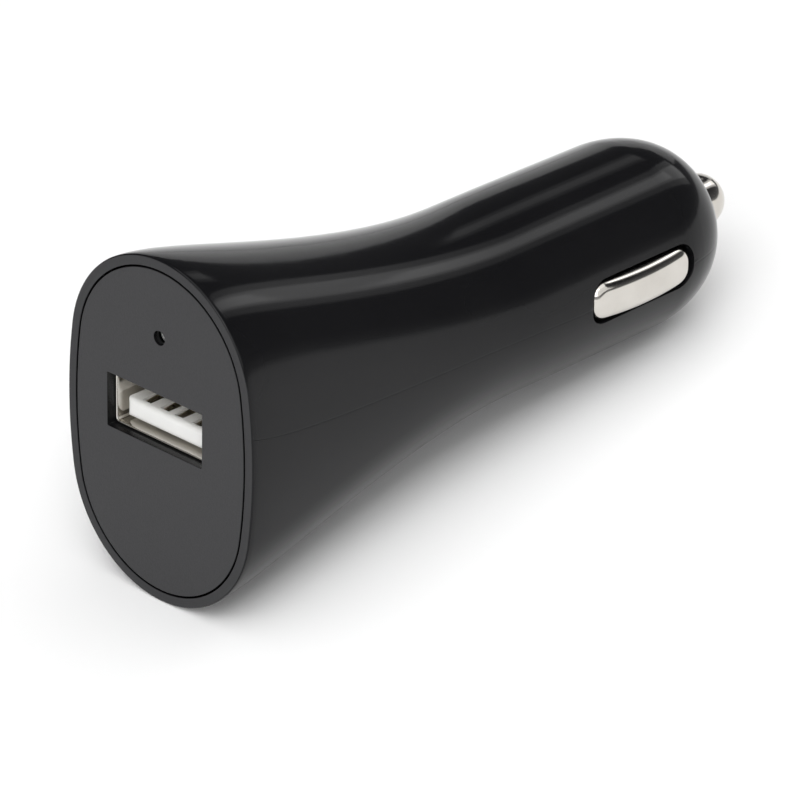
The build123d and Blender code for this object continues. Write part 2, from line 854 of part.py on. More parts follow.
with BuildPart() as chip_pins:
    for side in (-1, 1):
        with BuildSketch(Plane.YZ.offset(chip_x)):
            with BuildLine():
                FilletPolyline(
                    (side * chip_width / 2, chip_pin_z),
                    (side * (chip_width / 2 + chip_pin_foot / 2), chip_pin_z),
                    (side * (chip_width / 2 + chip_pin_foot / 2), board_top + chip_pin_thickness / 2),
                    (side * (chip_width / 2 + chip_pin_foot), board_top + chip_pin_thickness / 2),
                    radius=chip_pin_bend,
                )
            trace(line_width=chip_pin_thickness)
    extrude(amount=chip_length, both=True)
    with BuildSketch(Plane.XY.offset(board_top)):
        with Locations((chip_x, 0)):
            with GridLocations(chip_pin_pitch, 1, 4, 1):
                Rectangle(chip_pin_width, chip_width + 4 * chip_pin_foot)
    extrude(amount=chip_height, mode=Mode.INTERSECT)
chip_pins.part.label = "chip_pins"
export_step(chip_pins.part, "parts/chip_pins.step")

# Freewheel diode and its two tabs
with BuildPart() as freewheel_diode:
    with Locations((diode_x, 0, board_top + chip_standoff)):
        Box(diode_length, diode_width, diode_height, align=(Align.CENTER, Align.CENTER, Align.MIN))
    chamfer(freewheel_diode.faces().sort_by(Axis.Z)[-1].edges(), diode_chamfer)
freewheel_diode.part.label = "freewheel_diode"
export_step(freewheel_diode.part, "parts/freewheel_diode.step")

with BuildPart() as diode_tabs:
    for side in (-1, 1):
        with Locations((diode_x + side * (diode_length + diode_tab_foot) / 2, 0, board_top)):
            Box(
                diode_tab_foot,
                diode_tab_width,
                diode_tab_height,
                align=(Align.CENTER, Align.CENTER, Align.MIN),
            )
diode_tabs.part.label = "diode_tabs"
export_step(diode_tabs.part, "parts/diode_tabs.step")

# Chip resistors and ceramic capacitors around the converter
with BuildPart() as chip_resistors:
    with Locations((resistor_x, 0, board_top)):
        with GridLocations(resistor_pitch, resistor_row_spacing, 3, 2):
            Box(
                resistor_length,
                resistor_width,
                resistor_height,
                align=(Align.CENTER, Align.CENTER, Align.MIN),
            )
chip_resistors.part.label = "chip_resistors"
export_step(chip_resistors.part, "parts/chip_resistors.step")

with BuildPart() as ceramic_capacitors:
    with Locations((ceramic_x, 0, board_top)):
        with GridLocations(ceramic_pitch, ceramic_row_spacing, 2, 2):
            Box(
                ceramic_length,
                ceramic_width,
                ceramic_height,
                align=(Align.CENTER, Align.CENTER, Align.MIN),
            )
ceramic_capacitors.part.label = "ceramic_capacitors"
export_step(ceramic_capacitors.part, "parts/ceramic_capacitors.step")

# Centre contact: a turned pin with a round end, a flange behind the nose and a tail inside the spring
with BuildPart() as tip_contact:
    with BuildSketch(Plane.XZ):
        with BuildLine():
            EllipticalCenterArc((tip_end_x - tip_round, 0), tip_round, tip_radius, start_angle=0, arc_size=90)
            Polyline(
                (tip_end_x - tip_round, tip_radius),
                (flange_front_x, tip_radius),
                (flange_front_x, tip_flange_radius),
                (flange_back_x, tip_flange_radius),
                (flange_back_x, tip_tail_radius),
                (flange_back_x - tip_tail_length, tip_tail_radius),
                (flange_back_x - tip_tail_length, 0),
                (tip_end_x, 0),
            )
        make_face()
    revolve(axis=Axis.X)
tip_contact.part.label = "tip_contact"
export_step(tip_contact.part, "parts/tip_contact.step")

# Coil spring that pushes the centre contact out
with BuildPart() as tip_spring:
    with BuildLine() as coil:
        Helix(
            pitch=spring_wire_run / spring_turns,
            height=spring_wire_run,
            radius=spring_radius,
            center=(terminal_front_x + spring_wire / 2 + spring_end_gap, 0, 0),
            direction=(1, 0, 0),
        )
    with BuildSketch(Plane(origin=coil.line @ 0, z_dir=coil.line % 0)):
        Circle(spring_wire / 2)
    sweep(path=coil.line, is_frenet=True)
tip_spring.part.label = "tip_spring"
export_step(tip_spring.part, "parts/tip_spring.step")

# Terminal that seats the spring on the bulkhead and takes its current up to the board
with BuildPart() as tip_terminal:
    with BuildSketch(Plane.YZ.offset(terminal_back_x)):
        Circle(tip_flange_radius)
        Rectangle(terminal_arm_width, board_top + tail_proud, align=(Align.CENTER, Align.MIN))
    extrude(amount=terminal_thickness)
tip_terminal.part.label = "tip_terminal"
export_step(tip_terminal.part, "parts/tip_terminal.step")


def dome(inset):
    # The pad on the +Y side, drawn in by the inset: an arc along X turned about a line beside it
    axis_y = pad_crown - pad_cross_radius
    crown = pad_crown - inset
    bow = pad_bow_radius - inset
    edge = crown - bow + sqrt(bow**2 - (pad_length / 2) ** 2)
    with BuildPart() as solid:
        with BuildSketch(Plane.XY.offset(slot_rise)):
            with BuildLine():
                ThreePointArc(
                    (slot_center_x - pad_length / 2, edge),
                    (slot_center_x, crown),
                    (slot_center_x + pad_length / 2, edge),
                )
                Polyline(
                    (slot_center_x + pad_length / 2, edge),
                    (slot_center_x + pad_length / 2, axis_y),
                    (slot_center_x - pad_length / 2, axis_y),
                    (slot_center_x - pad_length / 2, edge),
                )
            make_face()
        revolve(axis=Axis((0, axis_y, slot_rise), (1, 0, 0)))
        with BuildSketch(Plane.XZ.offset(-pad_base)):
            with Locations((slot_center_x, slot_rise)):
                RectangleRounded(pad_length - 2 * inset, pad_height - 2 * inset, pad_corner - inset)
        extrude(amount=-pad_crown, mode=Mode.INTERSECT)
    return solid.part


# Side contact: one stamped leaf with a hollow domed pad, a springy arm and a tab up to the board
with BuildPart() as side_contact:
    add(dome(0))
    fillet(side_contact.faces().sort_by(Axis.Y)[-1].edges(), pad_edge_radius)
    add(dome(leaf_thickness), mode=Mode.SUBTRACT)
    with BuildSketch(Plane.XY):
        with BuildLine():
            FilletPolyline(
                (leaf_root_x - leaf_root_length / 2, leaf_root_y),
                (leaf_root_x + leaf_root_length / 2, leaf_root_y),
                (leaf_pad_x, pad_base + leaf_thickness / 2),
                (leaf_pad_x + leaf_thickness * 2, pad_base + leaf_thickness / 2),
                radius=leaf_thickness,
            )
        trace(line_width=leaf_thickness)
    extrude(amount=leaf_width / 2, both=True)
    with Locations((leaf_root_x, leaf_root_y, 0)):
        Box(
            leaf_tab_width,
            leaf_thickness,
            board_bottom - hole_clearance,
            align=(Align.CENTER, Align.CENTER, Align.MIN),
        )

with BuildPart() as side_contact_left:
    add(side_contact.part)
side_contact_left.part.label = "side_contact_left"
export_step(side_contact_left.part, "parts/side_contact_left.step")

with BuildPart() as side_contact_right:
    add(side_contact.part.mirror(Plane.XZ))
side_contact_right.part.label = "side_contact_right"
export_step(side_contact_right.part, "parts/side_contact_right.step")
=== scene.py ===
from math import asin, atan2, copysign, cos, pi, radians, sin, sqrt

import bmesh
import bpy
from mathutils import Matrix, Vector


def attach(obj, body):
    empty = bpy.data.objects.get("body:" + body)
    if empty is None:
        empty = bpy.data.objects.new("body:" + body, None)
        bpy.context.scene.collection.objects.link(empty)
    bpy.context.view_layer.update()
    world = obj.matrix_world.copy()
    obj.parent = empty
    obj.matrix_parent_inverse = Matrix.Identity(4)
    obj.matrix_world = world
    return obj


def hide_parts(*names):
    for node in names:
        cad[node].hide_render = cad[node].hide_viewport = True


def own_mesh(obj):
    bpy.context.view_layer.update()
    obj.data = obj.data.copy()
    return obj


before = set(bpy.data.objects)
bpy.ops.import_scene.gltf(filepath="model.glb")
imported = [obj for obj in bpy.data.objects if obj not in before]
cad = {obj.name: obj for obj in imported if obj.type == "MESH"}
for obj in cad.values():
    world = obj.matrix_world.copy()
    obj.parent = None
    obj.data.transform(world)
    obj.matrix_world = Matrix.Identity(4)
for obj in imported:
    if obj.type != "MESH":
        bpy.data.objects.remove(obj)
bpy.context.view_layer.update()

# Lower half shell
# The lower half of the housing, injection moulded in gloss black plastic with a satin front rim.
# It carries the board, the port and the contacts on moulded ribs, and takes the upper half on pegs.

# Sizes in millimetres, with X running from the face to the nose and Z up
barrel_radius, barrel_draft = 10.45, 0.12
collar_end, barrel_end = 7.2, 22.2
nose_end, nose_end_radius = 32.0, 4.3
face_x = -44.0
face_end_radius, face_end_center = 12.5, 6.15
face_side_radius, face_side_center = 54.725, 41.775
face_rise = 0.45
join_angle = atan2(face_end_center, face_side_center)

# Handles of the flare's curve, as distance behind the face and share of its swell, and of the parting line's
flare_run, flare_swell = (0.0, 6.0, 27.0, 44.0), (1.0, 1.0, 0.0, 0.0)
seam_run, seam_climb = (-44.0, -36.0, -14.0, 6.0), (4.3, 1.9, 0.5, 0.0)

# Edges, wall and hollows of a half
seam_gap, seam_rounding, seam_width = 0.01, 0.008, 0.2
slot_start, slot_end, slot_half, slot_corner, slot_rise = 7.7, 23.6, 2.6, 2.2, 0.15
slot_lower_share, slot_rounding, slot_first_row = 0.9, 0.14, 0.012
shell_wall = 1.7
rim_width, rim_round, rim_inner_round = 1.1, 0.2, 0.08
lining_front = face_x + 0.1
pocket_floor = -42.0
snap_start, snap_end, snap_half = -38.2, -36.8, 2.7
cavity_end = 25.5
tip_bore, bore_share = 3.15, 0.95
mouth_rings = ((3.8, 0.0), (3.4, 0.0), (3.22, 0.05), (3.15, 0.18))
guide_bore, guide_outer, guide_start, guide_overlap = 4.35, 5.5, 15.5, 0.3

# How finely a half is drawn
row_gap = 0.02
skin_columns, skin_reach = 104, 0.988
edge_columns = ((-1.0, 0.0, 1.0), (-1.0, 0.0012, 0.3), (-1.0, 0.004, 0.0))


def curve_at(t, handles):
    # A place along a smooth curve that four handles draw
    first, second, third, last = handles
    return (1 - t) ** 3 * first + 3 * (1 - t) ** 2 * t * second + 3 * (1 - t) * t**2 * third + t**3 * last


def along_curve(handles, goal):
    # The share of the way along a rising curve at which it reaches a goal
    low, high = 0.0, 1.0
    for _ in range(30):
        middle = (low + high) / 2
        low, high = (middle, high) if curve_at(middle, handles) < goal else (low, middle)
    return low


def flare_share(x):
    # The share of the face's swell that is left at x
    return 0.0 if x >= 0 else curve_at(along_curve(flare_run, x - face_x), flare_swell)


def seam_height(x):
    # The parting line climbs from the barrel's middle to the face
    return 0.0 if x >= seam_run[-1] else curve_at(along_curve(seam_run, x), seam_climb)


def edge_height(x, way):
    # Height of a half's edge: the parting line, or round the slot of a side contact
    if x <= slot_start or x >= slot_end:
        return seam_height(x) - (seam_gap if way < 0 else 0)
    end = min(x - slot_start, slot_end - x, slot_corner)
    reach = slot_half - slot_corner + sqrt(slot_corner**2 - (slot_corner - end) ** 2)
    return slot_rise + (reach if way > 0 else -slot_lower_share * reach)


def section_arcs(x, inset):
    # The oval's swell, end radius and side radius at x, drawn in by the inset
    share = flare_share(x)
    end = barrel_radius + share * (face_end_radius - barrel_radius) - inset
    side = barrel_radius + share * (face_side_radius - barrel_radius) - inset
    return share, end, side


def section_spot(x, inset, edge, way, u):
    # A place on the oval: u runs from -1 at the +Y edge to 1 at the -Y edge, over the crown where way is 1,
    # and under the keel where it is -1
    share, end, side = section_arcs(x, inset)
    run_to_join = side * join_angle
    rise = edge - share * face_rise
    start = asin(rise / side)
    if abs(start) > join_angle:
        start = copysign(asin((abs(rise) - share * face_end_center) / end), rise)
    run = side * start
    if abs(start) > join_angle:
        run = copysign(run_to_join + end * (abs(start) - join_angle), start)
    run += (1 - abs(u)) * (way * (run_to_join + end * (pi / 2 - join_angle)) - run)
    turn = run / side
    y, z = side * cos(turn) - share * face_side_center, side * sin(turn)
    if abs(run) > run_to_join:
        turn = join_angle + (abs(run) - run_to_join) / end
        y, z = end * cos(turn), copysign(share * face_end_center + end * sin(turn), run)
    return Vector((x, -y if u > 0 else y, z + share * face_rise))


def rounded_edge(size, steps=2):
    # A rounded edge from the front to the side: how far each step lies in from the side, and behind the front
    turns = [step * pi / 2 / steps for step in range(steps + 1)]
    return [(size * (1 - sin(turn)), size * (1 - cos(turn))) for turn in turns]


def next_row(bm, row, closed=False):
    # Extrudes a row of points once and gives back the new row in the same order
    ends = row[1:] + row[:1] if closed else row[1:]
    edges = [bm.edges.get((a, b)) for a, b in zip(row, ends)]
    grown = bmesh.ops.extrude_edge_only(bm, edges=edges)["geom"]
    fresh = {part for part in grown if isinstance(part, bmesh.types.BMVert)}
    return [next(e.other_vert(v) for e in v.link_edges if e.other_vert(v) in fresh) for v in row]


def nose_inset(x):
    # How far the barrel's outside lies within its full radius
    if x <= collar_end:
        return 0.0
    if x <= barrel_end:
        return barrel_draft * (x - collar_end) / (barrel_end - collar_end)
    along = min((x - barrel_end) / (nose_end - barrel_end), 1.0)
    top = barrel_radius - barrel_draft - nose_end_radius
    return barrel_radius - nose_end_radius - top * sqrt(1 - along**2)


def shell_stations():
    # Places along a half, front to nose: x and inset of the outer skin, then of the inner one
    outer = [(face_x + back, rim_width - inset) for inset, back in reversed(rounded_edge(rim_inner_round))]
    outer.append((face_x, rim_width / 2))
    outer += [(face_x + back, inset) for inset, back in rounded_edge(rim_round, 4)]
    inner = [(lining_front + row_gap * step, rim_width) for step in range(len(outer))]
    places = [face_x + curve_at(step / 52, flare_run) for step in range(2, 53)]
    places = [x for x in places if abs(x - pocket_floor) > 10 * row_gap]
    places += [pocket_floor, pocket_floor + row_gap]
    places += [collar_end * step / 4 for step in range(1, 5)]
    places += [slot_start + (slot_end - slot_start) * step / 8 for step in range(2, 7)]
    corners = [slot_corner * (1 - cos(step * pi / 16)) for step in range(1, 9)]
    for end in (0.0, slot_first_row, *corners):
        places += [slot_start + end, slot_end - end]
    places += [barrel_end + (nose_end - barrel_end) * sin(radians(turn)) for turn in range(13, 91, 4)]
    places += [barrel_end, cavity_end, cavity_end + row_gap, nose_end]
    for x in sorted(places):
        outer.append((x, nose_inset(x)))
        if x <= cavity_end:
            seat = pocket_floor if abs(x - pocket_floor) < 2 * row_gap else x
            inner.append((seat, rim_width if x <= pocket_floor else shell_wall))
        else:
            inner.append((cavity_end + (x - cavity_end - row_gap) * bore_share, barrel_radius - tip_bore))
    for radius, depth in mouth_rings:
        outer.append((nose_end - depth, barrel_radius - radius))
        inner.append((inner[-1][0] + row_gap, barrel_radius - tip_bore))
    return list(zip(outer, inner))


def shell_half(bm, way):
    # The moulded wall of one half: an outer skin swept from front to nose, an inner skin, and their edges.
    # A column has its place round the oval, its shift from the edge and its share of the edge's rounding.
    columns = [(skin_reach * (2 * step / skin_columns - 1), 0.0, 0.0) for step in range(skin_columns + 1)]
    columns = [*edge_columns, *columns, *[(-u, -shift, share) for u, shift, share in reversed(edge_columns)]]
    bmesh.ops.spin(
        bm,
        geom=[bm.verts.new((face_x, barrel_radius, 0))],
        cent=(0, 0, 0),
        axis=(1, 0, 0),
        angle=way * pi,
        steps=len(columns) - 1,
        use_duplicate=False,
    )
    bm.verts.ensure_lookup_table()
    rows = [list(bm.verts)]
    stations = shell_stations()
    for _ in stations[1:]:
        rows.append(next_row(bm, rows[-1]))
    skin = bmesh.ops.duplicate(bm, geom=bm.verts[:] + bm.edges[:] + bm.faces[:])
    lining = skin["vert_map"]
    bmesh.ops.reverse_faces(bm, faces=[part for part in skin["geom"] if isinstance(part, bmesh.types.BMFace)])
    for row, ((x, inset), (x_in, inset_in)) in zip(rows, stations):
        edge, edge_in = edge_height(x, way), edge_height(x_in, way)
        rounding, width = (slot_rounding, 1.0) if slot_start < x < slot_end else (seam_rounding, seam_width)
        for v, (u, shift, share) in zip(row, columns):
            u += shift * width
            v.co = section_spot(x, inset + rounding * share, edge, way, u)
            spot = section_spot(x_in, inset_in, edge_in, way, u)
            if snap_start < x_in < snap_end and abs(spot.y) < snap_half:
                spot = section_spot(x_in, shell_wall / 2, edge_in, way, u)
            lining[v].co = spot
    bmesh.ops.bridge_loops(bm, edges=[e for e in bm.edges if e.is_boundary])
    bmesh.ops.recalc_face_normals(bm, faces=bm.faces[:])


def wall_depth(x, y, way):
    # Height of the middle of the wall over or under a place inside the housing
    share, end, _ = section_arcs(x, shell_wall / 2)
    return share * face_rise + way * (share * face_end_center + sqrt(max(end**2 - y**2, 0)))


def add_rib(bm, x, y, length, width, seat, way):
    # A moulded rib or post that stands on the wall and ends flat at its seat
    foot = bmesh.ops.create_grid(bm, x_segments=1, y_segments=7, size=0.5)["verts"]
    bmesh.ops.scale(bm, vec=(length, width, 1), verts=foot)
    bmesh.ops.translate(bm, vec=(x, y, 0), verts=foot)
    top = bmesh.ops.extrude_face_region(bm, geom=list({f for v in foot for f in v.link_faces}))["geom"]
    for v in foot:
        v.co.z = wall_depth(v.co.x, v.co.y, way)
    for part in top:
        if isinstance(part, bmesh.types.BMVert):
            part.co.z = seat


def add_turned(bm, profile, cent, axis, steps=32, angle=2 * pi):
    # A closed outline turned about an axis
    line = [bm.verts.new(spot) for spot in profile]
    edges = [bm.edges.new(pair) for pair in zip(line, line[1:] + line[:1])]
    full = angle == 2 * pi
    turned = bmesh.ops.spin(
        bm,
        geom=line + edges,
        cent=cent,
        axis=axis,
        angle=angle,
        steps=steps,
        use_merge=full,
        use_duplicate=False,
    )
    if not full:
        ends = [part for part in turned["geom_last"] if isinstance(part, bmesh.types.BMEdge)]
        bmesh.ops.contextual_create(bm, geom=edges)
        bmesh.ops.contextual_create(bm, geom=ends)


def add_guide_tube(bm, way):
    # Half of the tube that guides the tip contact
    lift = 0.0 if way > 0 else -seam_gap
    profile = [(guide_start, r, lift) for r in (guide_bore, guide_outer)]
    profile += [(cavity_end + guide_overlap, r, lift) for r in (guide_outer, guide_bore)]
    add_turned(bm, profile, (0, 0, lift), (1, 0, 0), steps=40, angle=way * pi)


def finish_piece(name, bm, body, node, finish):
    # Turns a piece drawn in millimetres into an object in the frame that stands for its CAD node.
    # Faces square to the plug's length are shaded flat, and the others smooth up to a sharp edge.
    sharp_edge, square_on = radians(32), 0.9995
    bmesh.ops.recalc_face_normals(bm, faces=bm.faces[:])
    bmesh.ops.scale(bm, vec=(0.001, 0.001, 0.001), verts=bm.verts[:])
    mesh = bpy.data.meshes.new(name)
    bm.to_mesh(mesh)
    bm.free()
    mesh.set_sharp_from_angle(angle=sharp_edge)
    mesh.polygons.foreach_set("use_smooth", [abs(face.normal.x) < square_on for face in mesh.polygons])
    mesh.materials.append(finish)
    piece = bpy.data.objects.new(name, mesh)
    bpy.context.scene.collection.objects.link(piece)
    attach(piece, body)
    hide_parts(node)
    return piece


def new_group(name, inputs, outputs):
    # An empty effect with named sockets
    group = bpy.data.node_groups.new(name, "ShaderNodeTree")
    for label, kind, value in inputs:
        socket = group.interface.new_socket(label, in_out="INPUT", socket_type=kind)
        if value is not None:
            socket.default_value = value
    for label, kind in outputs:
        group.interface.new_socket(label, in_out="OUTPUT", socket_type=kind)
    return group, group.nodes.new("NodeGroupInput"), group.nodes.new("NodeGroupOutput")


# Uneven finish, shared by most materials: a soft noise between two values, and the noise itself as a height
uneven, given, made = new_group(
    "uneven_finish",
    [
        ("Vector", "NodeSocketVector", None),
        ("Stretch", "NodeSocketVector", (1, 1, 1)),
        ("Scale", "NodeSocketFloat", 500.0),
        ("Detail", "NodeSocketFloat", 3.0),
        ("Low", "NodeSocketFloat", 0.0),
        ("High", "NodeSocketFloat", 1.0),
    ],
    [("Value", "NodeSocketFloat"), ("Height", "NodeSocketFloat")],
)
stretch = uneven.nodes.new("ShaderNodeVectorMath")
stretch.operation = "MULTIPLY"
noise = uneven.nodes.new("ShaderNodeTexNoise")
spread = uneven.nodes.new("ShaderNodeMapRange")
spread.inputs["From Min"].default_value = 0.3
spread.inputs["From Max"].default_value = 0.7
uneven.links.new(given.outputs["Vector"], stretch.inputs[0])
uneven.links.new(given.outputs["Stretch"], stretch.inputs[1])
uneven.links.new(stretch.outputs[0], noise.inputs["Vector"])
uneven.links.new(given.outputs["Scale"], noise.inputs["Scale"])
uneven.links.new(given.outputs["Detail"], noise.inputs["Detail"])
uneven.links.new(noise.outputs["Fac"], spread.inputs["Value"])
uneven.links.new(given.outputs["Low"], spread.inputs["To Min"])
uneven.links.new(given.outputs["High"], spread.inputs["To Max"])
uneven.links.new(spread.outputs["Result"], made.inputs["Value"])
uneven.links.new(noise.outputs["Fac"], made.inputs["Height"])


def new_finish(name, **constants):
    # A material with its shader's constants set, and the place on the piece
    finish = bpy.data.materials.new(name)
    finish.use_nodes = True
    tree = finish.node_tree
    shader = tree.nodes["Principled BSDF"]
    for label, value in constants.items():
        shader.inputs[label.replace("_", " ")].default_value = value
    place = tree.nodes.new("ShaderNodeTexCoord").outputs["Object"]
    return finish, tree, shader, place


def add_uneven(tree, place, scale, low, high, detail=3.0, stretch=(1, 1, 1)):
    # The uneven finish, placed in a material with its own values
    node = tree.nodes.new("ShaderNodeGroup")
    node.node_tree = uneven
    node.inputs["Scale"].default_value = scale
    node.inputs["Detail"].default_value = detail
    node.inputs["Low"].default_value = low
    node.inputs["High"].default_value = high
    node.inputs["Stretch"].default_value = stretch
    tree.links.new(place, node.inputs["Vector"])
    return node


def blend_colour(tree, factor, first, second):
    # One colour turning into another; each is a colour or a socket
    mix = tree.nodes.new("ShaderNodeMix")
    mix.data_type = "RGBA"
    tree.links.new(factor, mix.inputs[0])
    for socket, colour in ((mix.inputs[6], first), (mix.inputs[7], second)):
        if isinstance(colour, tuple):
            socket.default_value = (*colour, 1)
        else:
            tree.links.new(colour, socket)
    return mix.outputs[2]


def blend_value(tree, factor, first, second):
    # One value turning into another; each is a number or a socket
    mix = tree.nodes.new("ShaderNodeMix")
    tree.links.new(factor, mix.inputs[0])
    for socket, value in ((mix.inputs[2], first), (mix.inputs[3], second)):
        if isinstance(value, float):
            socket.default_value = value
        else:
            tree.links.new(value, socket)
    return mix.outputs[0]


def add_relief(tree, shader, height, strength, distance):
    # A fine relief in the surface, where a height says
    bump = tree.nodes.new("ShaderNodeBump")
    bump.inputs["Strength"].default_value = strength
    bump.inputs["Distance"].default_value = distance
    tree.links.new(height, bump.inputs["Height"])
    tree.links.new(bump.outputs["Normal"], shader.inputs["Normal"])


def ramp_between(tree, value, start, end):
    # A mask that rises from 0 to 1 as a value goes from its start to its end
    ramp = tree.nodes.new("ShaderNodeMapRange")
    ramp.inputs["From Min"].default_value = start
    ramp.inputs["From Max"].default_value = end
    tree.links.new(value, ramp.inputs["Value"])
    return ramp.outputs["Result"]


def along_axis(tree, place, axis, start, end):
    # A mask that rises from 0 to 1 between two places on an axis
    split = tree.nodes.new("ShaderNodeSeparateXYZ")
    tree.links.new(place, split.inputs[0])
    return ramp_between(tree, split.outputs[axis], start, end)


# Gloss black plastic, with the rim's front left as satin as the plate by the mould's texture
front_skin = ((face_x + 0.01) * 0.001, (face_x + 0.03) * 0.001)
gloss_black, tree, shader, place = new_finish("gloss_black", Specular_IOR_Level=0.18)
body = along_axis(tree, place, "X", *front_skin)
polish = add_uneven(tree, place, 220.0, 0.085, 0.115)
grain = add_uneven(tree, place, 5200.0, 0.42, 0.56, 2.0)
shade = add_uneven(tree, place, 90.0, 0.0, 1.0)
deep = blend_colour(tree, shade.outputs["Value"], (0.0066, 0.0066, 0.0074), (0.0082, 0.0082, 0.0090))
satin = blend_colour(tree, grain.outputs["Value"], (0.032, 0.032, 0.034), (0.043, 0.043, 0.045))
sheen = blend_value(tree, body, grain.outputs["Value"], polish.outputs["Value"])
tree.links.new(blend_colour(tree, body, satin, deep), shader.inputs["Base Color"])
tree.links.new(sheen, shader.inputs["Roughness"])
add_relief(tree, shader, polish.outputs["Height"], 0.03, 0.0002)

wall_pegs = [(x, side * y) for x, y in ((-30.0, 8.93), (-14.0, 8.05)) for side in (-1, 1)]
nose_peg_x, nose_peg_y, nose_peg_root = 28.6, 6.3, -2.0
peg_radius, peg_height, boss_radius, boss_height = 0.8, 2.5, 1.5, 4.5
board_under, board_over = 4.48, 6.08
board_rib_y, board_rib = 5.1, (1.2, 1.4)
board_post_x = -14.9
leaf_root_x, leaf_root_y, leaf_post, leaf_post_top = -5.0, 5.7, 2.4, -1.7
jaw_width, jaw_shift, jaw_top = 0.775, 0.8125, 1.5

# Ribs across the middle: x, y, length, width and height of the seat
port_cradle = (-35.5, 0.72, 1.2, 9.0, -1.24)
bulkhead = (11.0, 0.0, 1.6, 12.0, board_under)

bm = bmesh.new()
shell_half(bm, -1)
for x, y in wall_pegs:
    top = seam_height(x)
    profile = [(x, y, top - boss_height), (x + boss_radius, y, top - boss_height)]
    profile += [(x + radius, y, top - seam_gap) for radius in (boss_radius, peg_radius)]
    profile += [(x + peg_radius, y, top + peg_height), (x, y, top + peg_height)]
    add_turned(bm, profile, (x, y, 0), (0, 0, 1))
for side in (-1, 1):
    y = side * nose_peg_y
    profile = [(nose_peg_x, y, nose_peg_root), (nose_peg_x + peg_radius, y, nose_peg_root)]
    profile += [(nose_peg_x + peg_radius, y, peg_height), (nose_peg_x, y, peg_height)]
    add_turned(bm, profile, (nose_peg_x, y, 0), (0, 0, 1))
    add_rib(bm, board_post_x, side * board_rib_y, *board_rib, board_under, -1)
    add_rib(bm, leaf_root_x, side * leaf_root_y, leaf_post, leaf_post, leaf_post_top, -1)
    for shift in (-jaw_shift, jaw_shift):
        add_rib(bm, leaf_root_x, side * (leaf_root_y + shift), leaf_post, jaw_width, jaw_top, -1)
add_rib(bm, *port_cradle, -1)
add_rib(bm, *bulkhead, -1)
add_guide_tube(bm, -1)
finish_piece("lower_half", bm, "housing", "lower_shell", gloss_black)

# Upper half shell
# The other half of the housing, of the same gloss black plastic. It is pressed down over the pegs,
# and its ribs hold the board on the posts of the lower half.
socket_radius, socket_depth = 0.88, 2.68
board_rib_places = (-24.4, 5.0)

bm = bmesh.new()
shell_half(bm, 1)
for x, y in wall_pegs:
    low = seam_height(x)
    profile = [(x + socket_radius, y, low), (x + boss_radius, y, low)]
    profile += [(x + boss_radius, y, low + boss_height), (x, y, low + boss_height)]
    profile += [(x, y, low + socket_depth), (x + socket_radius, y, low + socket_depth)]
    add_turned(bm, profile, (x, y, 0), (0, 0, 1))
for side in (-1, 1):
    for x in board_rib_places:
        add_rib(bm, x, side * board_rib_y, *board_rib, board_over, 1)
add_guide_tube(bm, 1)
finish_piece("upper_half", bm, "housing", "upper_shell", gloss_black)

# Face plate
# An oval plate of satin dark grey plastic, moulded with a fine spark texture and snapped into the front of
# the housing by two hooks. It has the port's window and a pinhole for the light.
plate_gap, plate_round, plate_columns = 0.18, 0.08, 88
window_center, window_half = (0.72, 1.62), (6.63, 2.94)
window_corner, window_round = 0.12, 0.06
light_height = 10.75
hole_radius, hole_round, hole_depth, seat_radius = 0.75, 0.07, 0.7, 1.62
hook_tip, hook_barb, hook_depth, hook_half, barb_height, hook_clearance = -37.0, -38.0, 1.0, 2.5, 0.85, 0.2


def plate_ring(inset, x):
    # Points round the plate's oval
    shares = [2 * step / plate_columns - 1 for step in range(plate_columns)]
    spots = [section_spot(face_x, inset, face_rise, 1, share) for share in shares]
    spots += [section_spot(face_x, inset, face_rise, -1, -share) for share in shares]
    return [(x, spot.y, spot.z) for spot in spots]


def corner_arcs(half_wide, half_high, corner, steps):
    # The four rounded corners of a rectangle about its middle, each as points on its arc
    arcs = []
    for quarter, (wide, high) in enumerate(((1, 1), (-1, 1), (-1, -1), (1, -1))):
        center = (wide * (half_wide - corner), high * (half_high - corner))
        turns = [(quarter + step / steps) * pi / 2 for step in range(steps + 1)]
        arcs.append([(center[0] + corner * cos(turn), center[1] + corner * sin(turn)) for turn in turns])
    return arcs


def window_ring(grow, x):
    # Points round the port's window, with small corners
    arcs = corner_arcs(window_half[0] + grow, window_half[1] + grow, window_corner + grow, 4)
    return [(x, window_center[0] + y, window_center[1] + z) for arc in arcs for y, z in arc]


def light_ring(radius, x):
    # Points round the light's hole
    turns = [step * pi / 24 for step in range(48)]
    return [(x, radius * cos(turn), light_height + radius * sin(turn)) for turn in turns]


def add_rings(bm, rings):
    # A tube through a run of rings; gives back its two end loops
    first = [bm.verts.new(spot) for spot in rings[0]]
    for pair in zip(first, first[1:] + first[:1]):
        bm.edges.new(pair)
    row = first
    for ring in rings[1:]:
        row = next_row(bm, row, closed=True)
        for v, spot in zip(row, ring):
            v.co = spot
    return [[bm.edges.get(pair) for pair in zip(loop, loop[1:] + loop[:1])] for loop in (first, row)]


# Satin on the front, where the mould is textured, and bare gloss on the edges and in the window
satin_charcoal, tree, shader, place = new_finish("satin_charcoal", Specular_IOR_Level=0.28)
sides = along_axis(tree, place, "X", *front_skin)
grain = add_uneven(tree, place, 5200.0, 0.42, 0.56, 2.0)
cloud = add_uneven(tree, place, 160.0, 0.0, 1.0)
fine = blend_colour(tree, grain.outputs["Value"], (0.030, 0.030, 0.032), (0.040, 0.040, 0.042))
front = blend_colour(tree, cloud.outputs["Value"], fine, (0.035, 0.035, 0.037))
tree.links.new(blend_colour(tree, sides, front, (0.0058, 0.0058, 0.0062)), shader.inputs["Base Color"])
tree.links.new(blend_value(tree, sides, grain.outputs["Value"], 0.25), shader.inputs["Roughness"])
add_relief(tree, shader, grain.outputs["Height"], 0.25, 0.00006)

